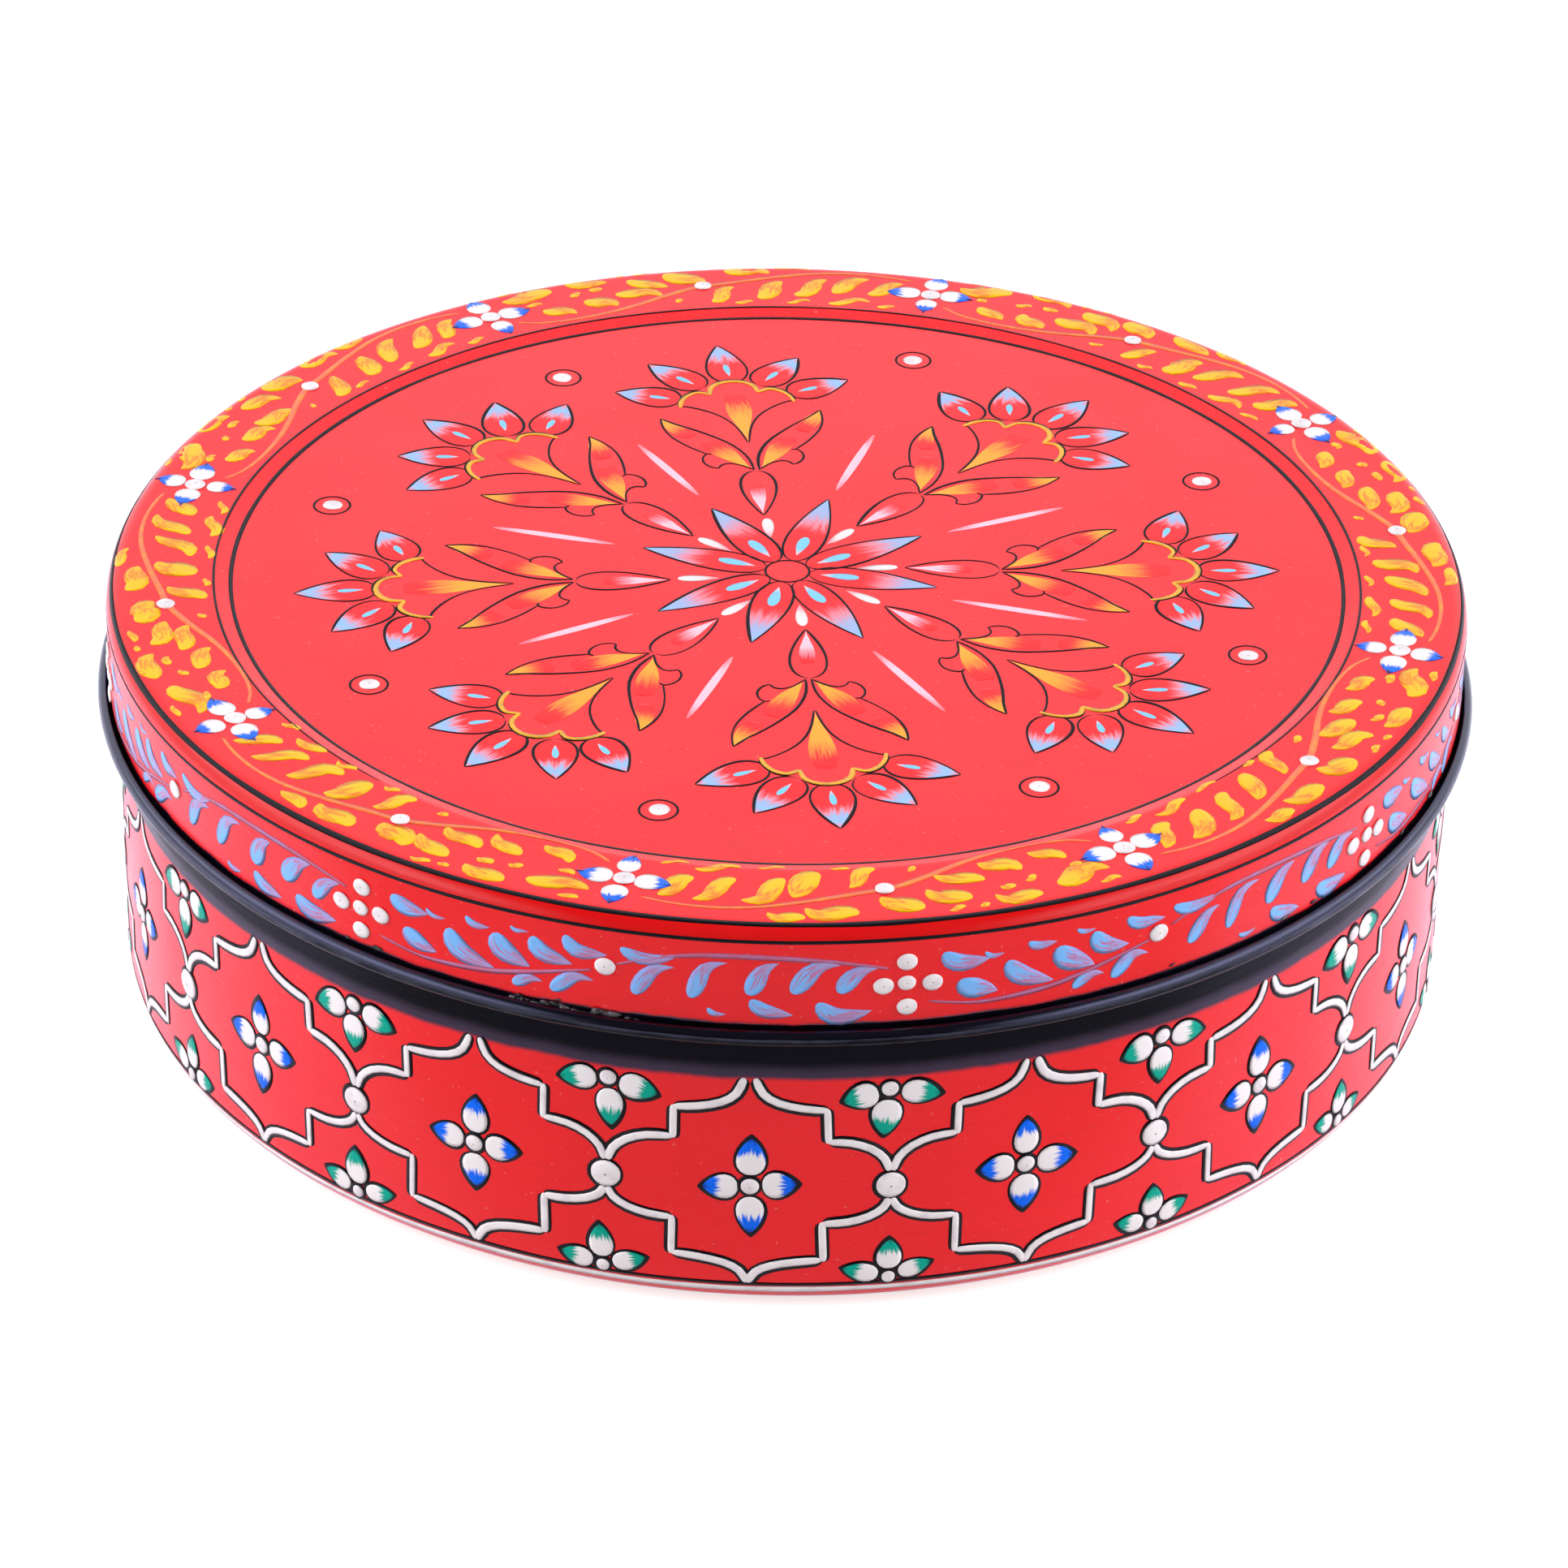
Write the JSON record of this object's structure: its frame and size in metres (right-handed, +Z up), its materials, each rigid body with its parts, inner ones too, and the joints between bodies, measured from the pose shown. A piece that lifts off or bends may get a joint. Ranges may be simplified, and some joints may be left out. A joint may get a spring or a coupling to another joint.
{
  "type": "spice box",
  "caption": "Round lidded steel spice box, enamelled red with traditional painted flowers, holding loose cups and a spoon under a slip-on lid.",
  "frame": {"origin": "centre of the base, on the surface that the box stands on", "axes": "+Z up through the middle of the lid, +X along the spoon's handle, -Y towards the viewer of the picture"},
  "size_m": [0.2066, 0.2066, 0.0641],
  "materials": {
    "red_enamel": "gloss",
    "black_enamel": "gloss",
    "white_enamel": "gloss",
    "yellow_enamel": "gloss",
    "blue_enamel": "gloss",
    "pink_enamel": "gloss",
    "green_enamel": "gloss",
    "bare_steel": "satin"
  },
  "bodies": {
    "box": {"box_shell": "red_enamel"},
    "lid": {"lid_shell": "red_enamel"},
    "cup_centre": {"cup_centre": "bare_steel"},
    "cup_1": {"cup_1": "bare_steel"},
    "cup_2": {"cup_2": "bare_steel"},
    "cup_3": {"cup_3": "bare_steel"},
    "cup_4": {"cup_4": "bare_steel"},
    "cup_5": {"cup_5": "bare_steel"},
    "cup_6": {"cup_6": "bare_steel"},
    "spoon": {"spoon": "bare_steel"}
  },
  "joints": [
    {"name": "lid_lift", "type": "slide", "parent": "box", "child": "lid", "axis": [0, 0, 1], "range_m": [0, 0.16]},
    {"name": "cup_centre_lift", "type": "slide", "parent": "box", "child": "cup_centre", "axis": [0, 0, 1], "range_m": [0, 0.072]},
    {"name": "cup_1_lift", "type": "slide", "parent": "box", "child": "cup_1", "axis": [0, 0, 1], "range_m": [0, 0.072]},
    {"name": "cup_2_lift", "type": "slide", "parent": "box", "child": "cup_2", "axis": [0, 0, 1], "range_m": [0, 0.072]},
    {"name": "cup_3_lift", "type": "slide", "parent": "box", "child": "cup_3", "axis": [0, 0, 1], "range_m": [0, 0.072]},
    {"name": "cup_4_lift", "type": "slide", "parent": "box", "child": "cup_4", "axis": [0, 0, 1], "range_m": [0, 0.072]},
    {"name": "cup_5_lift", "type": "slide", "parent": "box", "child": "cup_5", "axis": [0, 0, 1], "range_m": [0, 0.072]},
    {"name": "cup_6_lift", "type": "slide", "parent": "box", "child": "cup_6", "axis": [0, 0, 1], "range_m": [0, 0.072]},
    {"name": "spoon_lift", "type": "slide", "parent": "box", "child": "spoon", "axis": [0, 0, 1], "range_m": [0, 0.104]}
  ],
  "couplings": [
    {"joint": "cup_centre_lift", "follows": "lid_lift", "ratio": 0.45},
    {"joint": "cup_1_lift", "follows": "lid_lift", "ratio": 0.45},
    {"joint": "cup_2_lift", "follows": "lid_lift", "ratio": 0.45},
    {"joint": "cup_3_lift", "follows": "lid_lift", "ratio": 0.45},
    {"joint": "cup_4_lift", "follows": "lid_lift", "ratio": 0.45},
    {"joint": "cup_5_lift", "follows": "lid_lift", "ratio": 0.45},
    {"joint": "cup_6_lift", "follows": "lid_lift", "ratio": 0.45},
    {"joint": "spoon_lift", "follows": "lid_lift", "ratio": 0.65}
  ]
}
